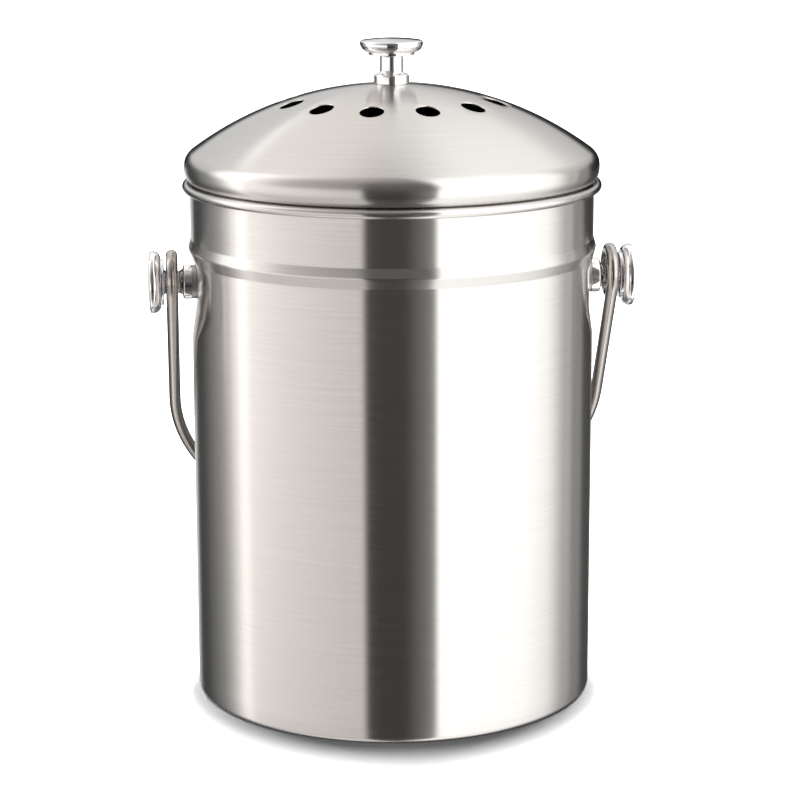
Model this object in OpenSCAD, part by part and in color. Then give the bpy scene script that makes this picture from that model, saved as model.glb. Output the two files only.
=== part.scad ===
// Kitchen compost caddy: a sheet-steel pail, a wire bail that swings on two side knobs, and a
// vented lift-off lid that holds a charcoal filter. Millimetres. The origin is on the floor under
// the pail's axis, +Z is up, and X runs through both side knobs. The bail hangs behind the pail, at +Y.

/* [Pail] */
// Outside diameter of the wall
pail_d = 165; // [140:1:200]
// Height of the rim's top above the floor
pail_h = 213.5; // [180:0.5:260]
// Thickness of the sheet steel in the pail and the lid
sheet = 0.6; // [0.4:0.05:0.8]
// Outside diameter of the tube that the rim is rolled into
rim_tube_d = 3.7; // [3:0.1:5]
// Outside radius of the corner between the wall and the foot
foot_corner_r = 2; // [1.5:0.1:4]
// Width of the flat hem turned in under the wall
foot_hem = 3; // [2:0.5:8]
// Height of the base panel's underside above the floor
base_lift = 4.5; // [4:0.5:10]
// Width of the base panel's flat border
base_border = 11; // [6:0.5:20]
// How far the middle of the base panel is pressed up
base_step = 0.9; // [0.5:0.1:2]

/* [Bead] */
// Distance from the rim's top down to the bead's knee
bead_drop = 26.8; // [20:0.1:32]
// How far the bead stands out of the wall
bead_out = 1.1; // [0.5:0.1:2]
// Height of the bead's sloping upper side
bead_upper_h = 3.8; // [2:0.1:6]
// Height of the bead's sloping lower side
bead_lower_h = 4.2; // [2:0.1:6]

/* [Side seats] */
// Distance from the rim's top down to the side knobs' axis
pivot_drop = 41.2; // [38:0.1:60]
// How far a seat is pressed in at its middle
seat_press = 1.8; // [1:0.1:3]
// Extra depth of the flat pad in the middle of a seat
seat_pad = 0.3; // [0.3:0.05:0.8]
// Radius of a seat's flattened face
seat_face_r = 107; // [100:1:140]
// Height of the slope from the bead's knee down to the seat
seat_slope_h = 7; // [5:0.5:8]
// Distance from the knobs' axis down to the end of the seat's flat
seat_below = 11; // [9:0.5:20]
// Height over which the seat runs out into the wall below it
seat_run_h = 12; // [6:0.5:25]

/* [Knobs] */
// Diameter of a knob's head
knob_head_d = 25.6; // [20:0.1:32]
// Height of the head above its step
knob_head_h = 5.4; // [4:0.1:9]
// Rise of the head's slightly domed top
knob_crown = 0.85; // [0.2:0.05:1.5]
// Diameter of the step under the head
knob_step_d = 18.8; // [15:0.1:20]
// Height of the step
knob_step_h = 1.3; // [0.8:0.1:2]
// Diameter of the neck
knob_neck_d = 9.4; // [8:0.1:11]
// Length of the neck
knob_neck_l = 7.7; // [7.3:0.1:12]
// Diameter of the collar
knob_collar_d = 14.2; // [12.5:0.1:18]
// Height of the collar
knob_collar_h = 4; // [3:0.1:6]

/* [Bail] */
// Diameter of the wire
wire_d = 4.9; // [3.5:0.1:5.2]
// Length of each straight leg
bail_leg = 64; // [55:1:90]
// Slack between the neck and the inside of the eye, on the radius
eye_slack = 2; // [0.6:0.1:3]
// Gap between the wire and the step of the knob beside it
eye_side_gap = 0.8; // [0.4:0.1:2]

/* [Lid] */
// How far the lid's widest line stands out beyond the wall
lid_overhang = 2.2; // [1:0.1:3]
// Radius of the dome
dome_r = 138; // [115:1:200]
// Radius of the shoulder above the widest line
shoulder_r = 7.1; // [4:0.1:12]
// Radius of the side below the widest line
under_r = 8; // [6:0.1:12]
// Height of the lid's widest line above the ledge
lid_side_h = 5.2; // [4.5:0.1:8]
// Depth of the skirt below the ledge
skirt_h = 9.8; // [6:0.2:20]
// Clearance between the skirt and the mouth, on the radius
skirt_play = 1; // [0.4:0.1:2]
// How far the dome's top is flattened under the knob
dome_pad = 0.25; // [0.25:0.05:0.6]

/* [Vents] */
// Number of vent holes
vent_n = 12; // [6:2:18]
// Diameter of a vent hole
vent_d = 9.6; // [6:0.1:14]
// Radius of the ring of vent holes
vent_ring_r = 42.5; // [32:0.5:52]

/* [Filter] */
// Gap between the filter's top edge and the lid's inside, on the radius
filter_play = 1.7; // [0.5:0.1:15]
// Thickness of the charcoal filter
filter_h = 9; // [5:0.5:12]
// Height of the filter's underside above the lid's ledge
filter_lift = 5.8; // [3:0.1:7]

// Width of a clip
clip_w = 12; // [8:0.5:20]
// Thickness of a clip
clip_t = 0.6; // [0.4:0.05:1]
// Overlap of a clip's finger with the filter
clip_grip = 6; // [3:0.5:12]

/* [Screws and washers] */
// Outside diameter of a screw's shank
screw_d = 5; // [4:0.5:6]
// Diameter of a screw's head
screw_head_d = 9.6; // [8:0.1:11]
// Height of a screw's head
screw_head_h = 3; // [2:0.1:4]
// Depth to which a screw goes into its knob
screw_reach = 9; // [6:0.5:12]
// Outside diameter of the washer outside each seat
washer_d = 14; // [12:0.5:16]
// Thickness of that washer
washer_h = 1.6; // [1:0.1:3]
// Outside diameter of the washers inside the pail and the lid
inner_washer_d = 12; // [11:0.5:16]
// Thickness of those washers
inner_washer_h = 1; // [0.8:0.1:2]

/* [Fits] */
// Gap between a moving piece and what it rests on
rest_gap = 0.3; // [0.2:0.05:0.5]
// Radial clearance of a screw in its knob, and of the base panel in the wall
slip = 0.05; // [0.03:0.01:0.1]
// Radial clearance of a screw in a washer or a sheet hole
hole_play = 0.2; // [0.1:0.05:0.5]

/* [Hidden] */
$fn = 96;
arc_step = 6;
past = 1;

pail_r = pail_d / 2;
pivot_z = pail_h - pivot_drop;
knee_z = pail_h - bead_drop;
curl_r = rim_tube_d / 2;
curl_z = pail_h - curl_r;
curl_x = pail_r - sheet + curl_r;
curl_end = 140;

seat_x = pail_r - seat_press - seat_pad;
seat_axis_x = pail_r - seat_press - seat_face_r;
seat_low_z = pivot_z - seat_below;
seat_high_z = knee_z - seat_slope_h;

knob_h = knob_collar_h + knob_neck_l + knob_step_h + knob_head_h;
knob_x = seat_x + washer_h;
knob_edge_r = 0.7;
knob_fillet = 0.8;
neck_r = knob_neck_d / 2;

wire_r = wire_d / 2;
eye_r = neck_r + eye_slack + wire_r;
eye_raise = eye_slack - rest_gap;
eye_x = knob_x + knob_collar_h + knob_neck_l - wire_r - eye_side_gap;
eye_open = acos(1 - (wire_d + rest_gap) / eye_r);
bail_reach = bail_leg + eye_x;
bail_hang = atan2(eye_r, bail_reach)
    + asin((pail_r + wire_r + rest_gap) / norm([bail_reach, eye_r]));

ledge_z = pail_h + rest_gap;
lid_r = pail_r + lid_overhang;
side_z = ledge_z + lid_side_h;
side_band = 1;
shoulder_z = side_z + side_band;
dome_z = shoulder_z - sqrt(pow(dome_r - shoulder_r, 2) - pow(lid_r - shoulder_r, 2));
dome_a = atan2(shoulder_z - dome_z, lid_r - shoulder_r);
lid_pad_z = dome_z + dome_r - dome_pad;
lip_r = sheet + 0.3;
under_a = asin((lid_side_h - lip_r) / (under_r - lip_r));
skirt_r = pail_r - sheet - skirt_play;
bend_r = 0.6;

filter_z = ledge_z + filter_lift;
filter_r = lid_inside(filter_z + filter_h) - filter_play;
clip_r = skirt_r - sheet - slip;
clip_foot = 2;
clip_count = 4;
clip_angle = clip_w / clip_r * 180 / PI;

// Points on an arc about c, from angle a0 to angle a1
function arc(c, r, a0, a1) =
    let (n = max(1, ceil(abs(a1 - a0) / arc_step)))
    [for (i = [0:n]) let (a = a0 + (a1 - a0) * i / n) c + r * [cos(a), sin(a)]];

function reverse(list) = [for (i = [len(list) - 1:-1:0]) list[i]];

// The bead's outline from below its lower slope to above its upper side, moved in by t
function bead_line(t) = [
    [pail_r - t, knee_z - bead_lower_h],
    [pail_r + bead_out - t, knee_z],
    [pail_r - t, knee_z + bead_upper_h]
];

// The wall's outline from the foot to the rim, moved in by t
function wall_line(t) = concat(
    arc([pail_r - foot_corner_r, foot_corner_r], foot_corner_r - t, -90, 0),
    bead_line(t),
    [[pail_r - t, curl_z]]
);

// The pail's form as a solid, moved in by t, with both side seats pressed in
module pail_form(t, top) {
    difference() {
        rotate_extrude()
            polygon(concat([[0, t]], wall_line(t), [[pail_r - t, top], [0, top]]));
        for (side = [0, 1])
            mirror([side, 0, 0]) {
                seat_press_tool(t);
                translate([seat_x - t, -pail_r, seat_low_z])
                    cube([pail_r, pail_d, seat_high_z - seat_low_z]);
            }
    }
}

// What one seat presses away: the space outside a wider drum that stands off the pail's axis
module seat_press_tool(t) {
    far = pail_r + bead_out + past - seat_axis_x;
    run_slope = seat_press / seat_run_h;
    rise_slope = (seat_press + bead_out) / seat_slope_h;
    low = past / run_slope;
    high = past / rise_slope;
    r = seat_face_r - t;
    translate([seat_axis_x, 0, 0])
        rotate_extrude()
            polygon([
                [r, seat_low_z], [r, seat_high_z],
                [r + seat_press + bead_out + past, seat_high_z + seat_slope_h + high],
                [far + past, seat_high_z + seat_slope_h + high],
                [far + past, seat_low_z - seat_run_h - low],
                [r + seat_press + past, seat_low_z - seat_run_h - low]
            ]);
}

// The rim's sheet, rolled outward into an open tube
module rim_curl() {
    c = [curl_x, curl_z];
    rotate_extrude()
        polygon(concat(arc(c, curl_r, 180, -curl_end), arc(c, curl_r - sheet, -curl_end, 180)));
}

module pail_wall() {
    hem_r = pail_r - foot_corner_r - foot_hem;
    color("gainsboro") {
        difference() {
            pail_form(0, curl_z);
            pail_form(sheet, curl_z + past);
            translate([0, 0, -past])
                cylinder(h = sheet + 2 * past, r = hem_r);
            for (side = [0, 1])
                mirror([side, 0, 0])
                    translate([seat_x - sheet - past, 0, pivot_z])
                        rotate([0, 90, 0])
                            cylinder(h = sheet + 2 * past, d = screw_d + 2 * hole_play);
        }
        rim_curl();
    }
}

// The base panel: a flange inside the wall, a flat border and a middle pressed up a little
module base_pan() {
    r = pail_r - sheet - slip;
    corner_r = sheet + 0.8;
    step_run = 2;
    border_r = pail_r - base_border;
    top_z = base_lift + sheet;
    c = [r - corner_r, top_z - corner_r];
    color("silver")
        rotate_extrude()
            polygon(concat(
                [[0, base_lift + base_step], [border_r - step_run, base_lift + base_step]],
                [[border_r, base_lift]],
                reverse(arc(c, corner_r - sheet, 0, 90)),
                [[r - sheet, foot_corner_r], [r, foot_corner_r]],
                arc(c, corner_r, 0, 90),
                [[border_r, top_z], [border_r - step_run, top_z + base_step], [0, top_z + base_step]]
            ));
}

// A turned knob that stands on z = 0, with a blind hole for its screw
module knob() {
    collar_r = knob_collar_d / 2;
    step_r = knob_step_d / 2;
    head_r = knob_head_d / 2;
    bore_r = screw_d / 2 + slip;
    bore_h = screw_reach + past;
    edge = 0.4;
    neck_top = knob_collar_h + knob_neck_l;
    step_top = neck_top + knob_step_h;
    foot_r = collar_r - 2 * edge - neck_r;
    side_a = 75;
    edge_a = 12;
    side_r = (knob_head_h - knob_crown - knob_edge_r * (1 - sin(edge_a))) / (sin(side_a) + sin(edge_a));
    side = [head_r - side_r, step_top + side_r * sin(side_a)];
    rim = side + (side_r - knob_edge_r) * [cos(edge_a), sin(edge_a)];
    drop = knob_h - rim.y;
    crown_r = (rim.x * rim.x + drop * drop - knob_edge_r * knob_edge_r) / (2 * knob_crown);
    crown_a = atan2(crown_r - drop, rim.x);
    color("whitesmoke")
        rotate_extrude()
            polygon(concat(
                [[0, bore_h], [bore_r, bore_h], [bore_r, 0]],
                [[collar_r - edge, 0], [collar_r, edge]],
                arc([collar_r - 2 * edge, knob_collar_h - 2 * edge], 2 * edge, 0, 90),
                reverse(arc([neck_r + foot_r, knob_collar_h + foot_r], foot_r, 180, 270)),
                reverse(arc([neck_r + knob_fillet, neck_top - knob_fillet], knob_fillet, 90, 180)),
                [[step_r - edge, neck_top], [step_r, neck_top + edge], [step_r, step_top]],
                arc(side, side_r, -side_a, edge_a),
                arc(rim, knob_edge_r, edge_a + 20, crown_a),
                [for (a = [crown_a + 3.6:3.6:88]) [crown_r * cos(a), knob_h - crown_r + crown_r * sin(a)]],
                [[0, knob_h]]
            ));
}

// A flat ring that stands on z = 0
module washer(d, h) {
    color("lightgray")
        difference() {
            cylinder(h = h, d = d);
            translate([0, 0, -past])
                cylinder(h = h + 2 * past, d = screw_d + 2 * hole_play);
        }
}

// A pan-head screw with its head's underside on z = 0 and its shank up along +Z
module screw(shank_l) {
    head_r = screw_head_d / 2;
    dome_h = screw_head_h / 2;
    dome_in = head_r / 3;
    slot_w = 1.2;
    slot_l = head_r;
    slot_h = screw_head_h / 2;
    tip = screw_d / 8;
    color("silver")
        difference() {
            rotate_extrude()
                polygon([
                    [0, -screw_head_h], [head_r - 2 * dome_in, -screw_head_h],
                    [head_r - dome_in, -screw_head_h + dome_h / 4], [head_r - dome_in / 4, -dome_h],
                    [head_r, -dome_h / 2], [head_r, 0], [screw_d / 2, 0],
                    [screw_d / 2, shank_l - tip], [screw_d / 2 - tip, shank_l], [0, shank_l]
                ]);
            for (turn = [0, 90])
                rotate([0, 0, turn])
                    translate([-slot_l / 2, -slot_w / 2, -screw_head_h - past])
                        cube([slot_l, slot_w, slot_h + past]);
        }
}

// Places a piece that stands on z = 0 at the distance x along the right side's axis, facing out
module on_side(x) {
    translate([x, 0, pivot_z])
        rotate([0, 90, 0])
            children();
}

module side_knob() {
    on_side(knob_x) knob();
}

module side_washer() {
    on_side(seat_x) washer(washer_d, washer_h);
}

module side_inner_washer() {
    on_side(seat_x - sheet - inner_washer_h) washer(inner_washer_d, inner_washer_h);
}

module side_screw() {
    on_side(seat_x - sheet - inner_washer_h)
        screw(inner_washer_h + sheet + washer_h + screw_reach);
}

// One eye and its straight leg, hanging down from an eye whose middle is at the origin
module bail_side() {
    translate([eye_x, 0, 0]) {
        rotate([90, 0, 90])
            mirror([1, 0, 0])
                rotate_extrude(angle = 360 - eye_open)
                    translate([eye_r, 0])
                        circle(r = wire_r);
        translate([0, -eye_r, -bail_leg])
            cylinder(h = bail_leg, r = wire_r);
    }
}

// The bail: one wire with two eyes, two straight legs and a half-round bow, leaning back on the wall
module bail() {
    color("darkgray")
        translate([0, 0, pivot_z + eye_raise])
            rotate([bail_hang, 0, 0]) {
                bail_side();
                mirror([1, 0, 0]) bail_side();
                translate([0, -eye_r, -bail_leg])
                    rotate([90, 0, 0])
                        rotate([0, 0, 180])
                            rotate_extrude(angle = 180)
                                translate([eye_x, 0])
                                    circle(r = wire_r);
            }
}

// The lid's outline from the middle of the dome to the skirt's edge, moved in by t
function lid_line(t) =
    let (
        pad_a = asin((dome_r - dome_pad) / dome_r),
        under_c = [lid_r - under_r, side_z],
        lip_c = under_c + (under_r - lip_r) * [cos(under_a), -sin(under_a)]
    )
    concat(
        [[0, lid_pad_z - t]],
        reverse(arc([0, dome_z], dome_r - t, dome_a, pad_a)),
        reverse(arc([lid_r - shoulder_r, shoulder_z], shoulder_r - t, 0, dome_a)),
        arc(under_c, under_r - t, 0, -under_a),
        arc(lip_c, lip_r - t, -under_a, -90),
        arc([skirt_r + bend_r, ledge_z - bend_r], bend_r + t, 90, 180),
        [[skirt_r - t, ledge_z - skirt_h]]
    );

// Inside radius of the lid at a height z above its widest line
function lid_inside(z) =
    z > shoulder_z + (shoulder_r - sheet) * sin(dome_a)
        ? sqrt(pow(dome_r - sheet, 2) - pow(z - dome_z, 2))
        : lid_r - shoulder_r + sqrt(pow(shoulder_r - sheet, 2) - pow(max(0, z - shoulder_z), 2));

module lid_shell() {
    color("gainsboro")
        difference() {
            rotate_extrude()
                polygon(concat(lid_line(0), reverse(lid_line(sheet))));
            for (i = [0:vent_n - 1])
                rotate([0, 0, (i + 0.5) * 360 / vent_n])
                    translate([vent_ring_r, 0, ledge_z])
                        cylinder(h = dome_r, d = vent_d);
            translate([0, 0, ledge_z])
                cylinder(h = dome_r, d = screw_d + 2 * hole_play);
        }
}

module lid_knob() {
    translate([0, 0, lid_pad_z]) knob();
}

module lid_washer() {
    translate([0, 0, lid_pad_z - sheet - inner_washer_h]) washer(inner_washer_d, inner_washer_h);
}

module lid_screw() {
    translate([0, 0, lid_pad_z - sheet - inner_washer_h]) screw(inner_washer_h + sheet + screw_reach);
}

// The filter: a pressed disc of felt and carbon that lies on the clips
module charcoal_filter() {
    soft_r = filter_h / 6;
    color("dimgray")
        translate([0, 0, filter_z])
            rotate_extrude()
                polygon(concat(
                    [[0, 0]],
                    arc([filter_r - soft_r, soft_r], soft_r, -90, 0),
                    arc([filter_r - soft_r, filter_h - soft_r], soft_r, 0, 90),
                    [[0, filter_h]]
                ));
}

// A clip: a sheet tab with its leg on the inside of the skirt and its finger under the filter
module filter_clip(i) {
    foot_z = ledge_z - skirt_h + clip_foot;
    finger_r = filter_r - clip_grip;
    bend = 2 * clip_t;
    c = [clip_r - bend, filter_z - bend];
    color("lightsteelblue")
        rotate([0, 0, (i - 0.5) * 360 / clip_count - clip_angle / 2])
            rotate_extrude(angle = clip_angle)
                polygon(concat(
                    [[clip_r - clip_t, foot_z], [clip_r, foot_z]],
                    arc(c, bend, 0, 90),
                    [[finger_r, filter_z], [finger_r, filter_z - clip_t]],
                    reverse(arc(c, bend - clip_t, 0, 90))
                ));
}

pail_wall();
base_pan();
mirror([1, 0, 0]) side_knob();  // left_knob
side_knob();  // right_knob
mirror([1, 0, 0]) side_washer();  // left_washer
side_washer();  // right_washer
mirror([1, 0, 0]) side_inner_washer();  // left_inner_washer
side_inner_washer();  // right_inner_washer
mirror([1, 0, 0]) side_screw();  // left_screw
side_screw();  // right_screw
bail();
lid_shell();
lid_knob();
lid_washer();
lid_screw();
charcoal_filter();
filter_clip(1);  // filter_clip_1
filter_clip(2);  // filter_clip_2
filter_clip(3);  // filter_clip_3
filter_clip(4);  // filter_clip_4
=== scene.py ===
# %% [markdown]
# # A steel compost caddy
#
# A compost caddy is a small lidded pail for kitchen scraps. This one is sheet steel: a deep-drawn
# pail with a rolled rim and a bead, a wire bail on two side knobs, and a domed lid with vent holes
# and a knob. The CAD model gives the real sizes and the moving bodies. This lesson dresses it:
# it spins smooth sheet-metal shells around the CAD nodes, gives them a brushed finish, and sets
# up the kind of light that shows steel well.
#
# Everything is in metres, with the floor at z = 0 and the pail's axis on Z.

# %% Load the CAD frame
from functools import cache
from math import acos, asin, atan2, cos, degrees, hypot, pi, radians, sin, sqrt, tau, tan

import bmesh
import bpy
from mathutils import Matrix, Vector


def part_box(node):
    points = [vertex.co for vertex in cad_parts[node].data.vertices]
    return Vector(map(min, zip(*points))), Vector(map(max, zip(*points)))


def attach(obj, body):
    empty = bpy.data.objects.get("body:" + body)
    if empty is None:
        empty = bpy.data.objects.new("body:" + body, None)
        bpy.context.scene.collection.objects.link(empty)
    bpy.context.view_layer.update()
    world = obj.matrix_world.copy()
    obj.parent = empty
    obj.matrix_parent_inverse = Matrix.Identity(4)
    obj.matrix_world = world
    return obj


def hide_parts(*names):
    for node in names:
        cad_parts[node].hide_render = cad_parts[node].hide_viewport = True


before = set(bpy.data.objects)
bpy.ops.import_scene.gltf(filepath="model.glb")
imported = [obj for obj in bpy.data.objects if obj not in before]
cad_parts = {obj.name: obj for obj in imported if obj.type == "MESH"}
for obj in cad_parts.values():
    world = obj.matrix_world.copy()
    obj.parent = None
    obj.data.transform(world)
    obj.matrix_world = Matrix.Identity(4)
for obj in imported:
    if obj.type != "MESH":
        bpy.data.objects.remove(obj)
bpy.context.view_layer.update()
scene = bpy.context.scene
MM = 0.001

# %% [markdown]
# ## The camera
#
# The photograph is taken from a little above, through a long lens, so that the pail's sides stay
# nearly parallel. The camera stands about a metre away. It is turned a few degrees towards the
# left knob, which is why the left knob looks nearer than the right one.

# %% Place the camera
camera_turn = radians(4.5)
camera_distance = 1078.5 * MM
camera_height = 365.6 * MM
camera_pitch = radians(12.789)
camera_yaw = radians(0.162)
camera_roll = radians(-0.167)
sensor_width = 36.0
picture_width = 800
focal_in_pixels = 2656.1

heading = camera_yaw + camera_turn
ahead = cos(camera_pitch)
forward = Vector((sin(heading) * ahead, cos(heading) * ahead, -sin(camera_pitch)))
sideways = Vector((cos(heading), -sin(heading), 0))
upward = sideways.cross(forward)
right = sideways * cos(camera_roll) + upward * sin(camera_roll)
top = upward * cos(camera_roll) - sideways * sin(camera_roll)

camera_data = bpy.data.cameras.new("camera")
camera_data.sensor_width = sensor_width
camera_data.lens = focal_in_pixels * sensor_width / picture_width
camera = bpy.data.objects.new("camera", camera_data)
camera.matrix_world = Matrix((right, top, -forward)).transposed().to_4x4()
camera.location = (
    -camera_distance * sin(camera_turn),
    -camera_distance * cos(camera_turn),
    camera_height,
)
scene.collection.objects.link(camera)
scene.camera = camera
print("lens:", round(camera_data.lens, 1), "mm")

# %% [markdown]
# ## Helpers for spun metal
#
# Nearly every piece of this caddy is round, because the real ones are turned on a lathe or pressed
# in a round die. So each piece starts as an outline in the XZ plane and is spun about an axis.
# The outline holds only the points that the shape needs, and its round stretches come from `arc`.

# %% Outline helpers
def arc(x, z, r, start, end, steps):
    """Points on an arc about (x, z), from one angle in degrees to another."""
    turns = [radians(start + (end - start) * i / steps) for i in range(steps + 1)]
    return [(x + r * cos(t), z + r * sin(t)) for t in turns]


def stretch(x, low, high, steps):
    """Points up a straight wall, evenly spaced, without the last one."""
    return [(x, low + (high - low) * i / steps) for i in range(steps)]


def edges_in(geom):
    """The edges among the things that an operator returns."""
    return [g for g in geom if isinstance(g, bmesh.types.BMEdge)]


def verts_in(geom):
    """The vertices among the things that an operator returns."""
    return [g for g in geom if isinstance(g, bmesh.types.BMVert)]


def draw_outline(bm, points):
    """An open chain of edges through (x, z) points in millimetres."""
    chain = [bm.verts.new((x * MM, 0, z * MM)) for x, z in points]
    for a, b in zip(chain, chain[1:]):
        bm.edges.new((a, b))
    return chain


def spin_round(bm, steps):
    """Spins everything in the bmesh once round Z and closes the seam and the poles."""
    bmesh.ops.spin(
        bm, geom=bm.verts[:] + bm.edges[:], cent=(0, 0, 0), axis=(0, 0, 1),
        angle=tau, steps=steps, use_merge=True,
    )
    bmesh.ops.remove_doubles(bm, verts=bm.verts[:], dist=0.002 * MM)
    bmesh.ops.recalc_face_normals(bm, faces=bm.faces[:])


corner = [(round(x, 2), round(z, 2)) for x, z in arc(0, 0, 1, 0, 90, 2)]
print("a quarter arc in two steps:", corner)


# %% Finishing helpers
def keep_sharp(bm, limit=38):
    """Smooth faces all over, with the edges that turn further than the limit left sharp."""
    for face in bm.faces:
        face.smooth = True
    for edge in bm.edges:
        edge.smooth = len(edge.link_faces) == 2 and edge.calc_face_angle(0) < radians(limit)


def make_piece(bm, name, body, slot, *nodes):
    """Turns the bmesh into a finished piece that stands for CAD nodes and rides on their body."""
    keep_sharp(bm)
    mesh = bpy.data.meshes.new(name)
    bm.to_mesh(mesh)
    bm.free()
    piece = bpy.data.objects.new(name, mesh)
    scene.collection.objects.link(piece)
    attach(piece, body)
    if nodes:
        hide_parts(*nodes)
    print(f"{name}: {len(mesh.polygons)} faces")
    return piece


# %% [markdown]
# ## The pail's wall
#
# The wall is one sheet of steel 0.6 mm thick. At the foot it is rounded and turned in as a flat hem.
# Near the top a bead is rolled into it, which stiffens it, and the edge is rolled outward into a
# tube so that nobody cuts a hand on it. Two seats are pressed flatter for the side knobs.
#
# The sheet's inner face runs without a break from the hem up to the end of the rolled rim, so the
# outline follows that face. The thickness is added afterwards.

# %% Sizes of the wall
sheet = 0.6
wall_r = 82.5
inner_r = wall_r - sheet
foot_r = 2.0
hem = 3.0
knee_z = 186.7
bead_out = 1.1
bead_low = 4.2
bead_high = 3.8
rim_tube_r = 1.85
rim_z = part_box("pail_wall")[1].z / MM - rim_tube_r
seat_low = 161.3
seat_high = 179.7
seat_fade = 12.0
seat_rise = knee_z - seat_high
seat_sector = radians(32)
wall_steps = 432
print("the rim's middle line is at z", round(rim_z, 2))

# %% The wall's outline
crease_r = 2.0
knee_r = 1.4
low_rows_z = 8.0
fine_rows_z = 148.0
crease_play = 3.0


def rounded_corner(before, corner, after, r, steps=4):
    """The corner of a bent line, rounded to radius r."""
    here = Vector(corner)
    back = (Vector(before) - here).normalized()
    on = (Vector(after) - here).normalized()
    reach = r / tan(back.angle(on) / 2)
    first, last = here + back * reach, here + on * reach
    points = []
    for i in range(steps + 1):
        t = i / steps
        points.append(tuple(first * (1 - t) ** 2 + here * 2 * t * (1 - t) + last * t * t))
    return points


below_bead = (inner_r, knee_z - bead_low)
knee = (inner_r + bead_out, knee_z)
above_bead = (inner_r, knee_z + bead_high)
wall_outline = (
    [(wall_r - foot_r - hem, sheet)]
    + arc(wall_r - foot_r, foot_r, foot_r - sheet, -90, 0, 8)
    + stretch(inner_r, low_rows_z, fine_rows_z, 10)
    + stretch(inner_r, fine_rows_z, below_bead[1], 34)
    + rounded_corner((inner_r, fine_rows_z), below_bead, knee, crease_r)
    + rounded_corner(below_bead, knee, above_bead, knee_r)
    + rounded_corner(knee, above_bead, (inner_r, rim_z), crease_r)
    + stretch(inner_r, above_bead[1] + crease_play, rim_z, 4)
    + arc(inner_r + rim_tube_r, rim_z, rim_tube_r, 180, -140, 32)
)
print("outline points:", len(wall_outline))

# %% [markdown]
# ### The side seats
#
# A press flattens the wall where each knob sits. The face of the press is part of a wider drum whose
# axis stands off the pail's own. So the seat is flatter than the wall and ends in a soft upright
# crease on each side. A vertex that lies outside the drum moves straight in towards the pail's axis.

# %% Press the side seats
drum_r = 107.0
press_depth = 1.8
pad_depth = 0.3
crease_width = 0.04
bend_width = 1.2


def ramp(x):
    """Rises from 0 with a rounded start."""
    return (x + sqrt(x * x + bend_width ** 2)) / 2


def lesser(a, b):
    """The smaller of two lengths, with a rounded change from one to the other."""
    half = (a + b) / 2
    return half - sqrt((a - b) ** 2 / 4 + crease_width ** 2)


def press_seats(bm):
    """Moves the vertices at both sides in to the face of the press."""
    axis_x = wall_r - press_depth - drum_r
    for v in bm.verts:
        z = v.co.z / MM
        if not seat_low - 2 * seat_fade < z < knee_z + 1:
            continue
        turn = atan2(v.co.y, abs(v.co.x))
        if abs(turn) > seat_sector:
            continue
        reach = drum_r - sheet + ramp(seat_low - z) * press_depth / seat_fade
        reach += ramp(z - seat_high) * (press_depth + bead_out) / seat_rise
        limit = axis_x * cos(turn) + sqrt(reach ** 2 - (axis_x * sin(turn)) ** 2)
        if seat_low < z < seat_high:
            limit = lesser(limit, (inner_r - press_depth - pad_depth) / cos(turn))
        r = hypot(v.co.x, v.co.y) / MM
        pressed = lesser(r, limit) + crease_width * (r < limit - 1)
        v.co.x *= pressed / r
        v.co.y *= pressed / r


bm = bmesh.new()
draw_outline(bm, wall_outline)
spin_round(bm, wall_steps)
press_seats(bm)
print("the sheet has", len(bm.verts), "vertices and no thickness yet")

# %% [markdown]
# ### Thickness
#
# The faces have to look towards the sheet's outer side before it gets its thickness, so that the
# new wall grows outward. The wall's own middle tells which way they look.

# %% Give the wall its thickness
def face_outward(bm, z):
    """Turns all the faces round if those of the wall at height z look towards the axis."""
    sample = min(bm.faces, key=lambda f: abs(f.calc_center_median().z - z * MM))
    centre = sample.calc_center_median()
    if sample.normal.dot(Vector((centre.x, centre.y, 0))) < 0:
        bmesh.ops.reverse_faces(bm, faces=bm.faces[:])


face_outward(bm, 100)
bm.normal_update()
bmesh.ops.solidify(bm, geom=bm.faces[:], thickness=-sheet * MM)
bmesh.ops.recalc_face_normals(bm, faces=bm.faces[:])
pail_sheet = make_piece(bm, "pail_sheet", "pail", "brushed_steel", "pail_wall")

# %% [markdown]
# ## The base panel
#
# A separate pressed disc closes the pail. Its flange stands inside the wall, and its middle is
# pressed up a little, which keeps it from bulging down under a full load.

# %% Spin the base panel
pan_low, pan_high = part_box("base_pan")
pan_r = pan_high.x / MM
pan_corner = 1.4
pan_top = 5.1
pan_step = 0.9
pan_border = 71.5
pan_steps = 192
flange_foot = pan_low.z / MM
raised = pan_top + pan_step
base_outline = (
    [(0, raised), (20, raised), (pan_border - 3, raised), (pan_border - 2, raised)]
    + [(pan_border - 0.2, pan_top + 0.1), (pan_border + 1, pan_top)]
    + arc(pan_r - pan_corner, pan_top - pan_corner, pan_corner, 90, 0, 8)
    + [(pan_r, flange_foot)]
)
bm = bmesh.new()
draw_outline(bm, base_outline)
spin_round(bm, pan_steps)
if sum(f.normal.z for f in bm.faces) < 0:
    bmesh.ops.reverse_faces(bm, faces=bm.faces[:])
bm.normal_update()
bmesh.ops.solidify(bm, geom=bm.faces[:], thickness=sheet * MM)
bmesh.ops.recalc_face_normals(bm, faces=bm.faces[:])
base_panel = make_piece(bm, "base_panel", "pail", "inner_steel", "base_pan")

# %% [markdown]
# ## The lid
#
# The lid is one pressed sheet. From the middle out it has a dome, a tight rounded shoulder, a side
# that draws in to a ledge which sits on the rim, and a skirt that drops into the mouth. The
# outline follows the outer face.

# %% Sizes of the lid
lid_r = 84.7
dome_r = 138.0
shoulder_r = 7.1
under_r = 8.0
ledge_z = 213.8
side_z = 219.0
shoulder_z = 220.0
lip_r = 0.9
bend_r = 0.6
skirt_r = 80.9
skirt_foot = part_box("lid_shell")[0].z / MM
lid_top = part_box("lid_shell")[1].z / MM

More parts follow.
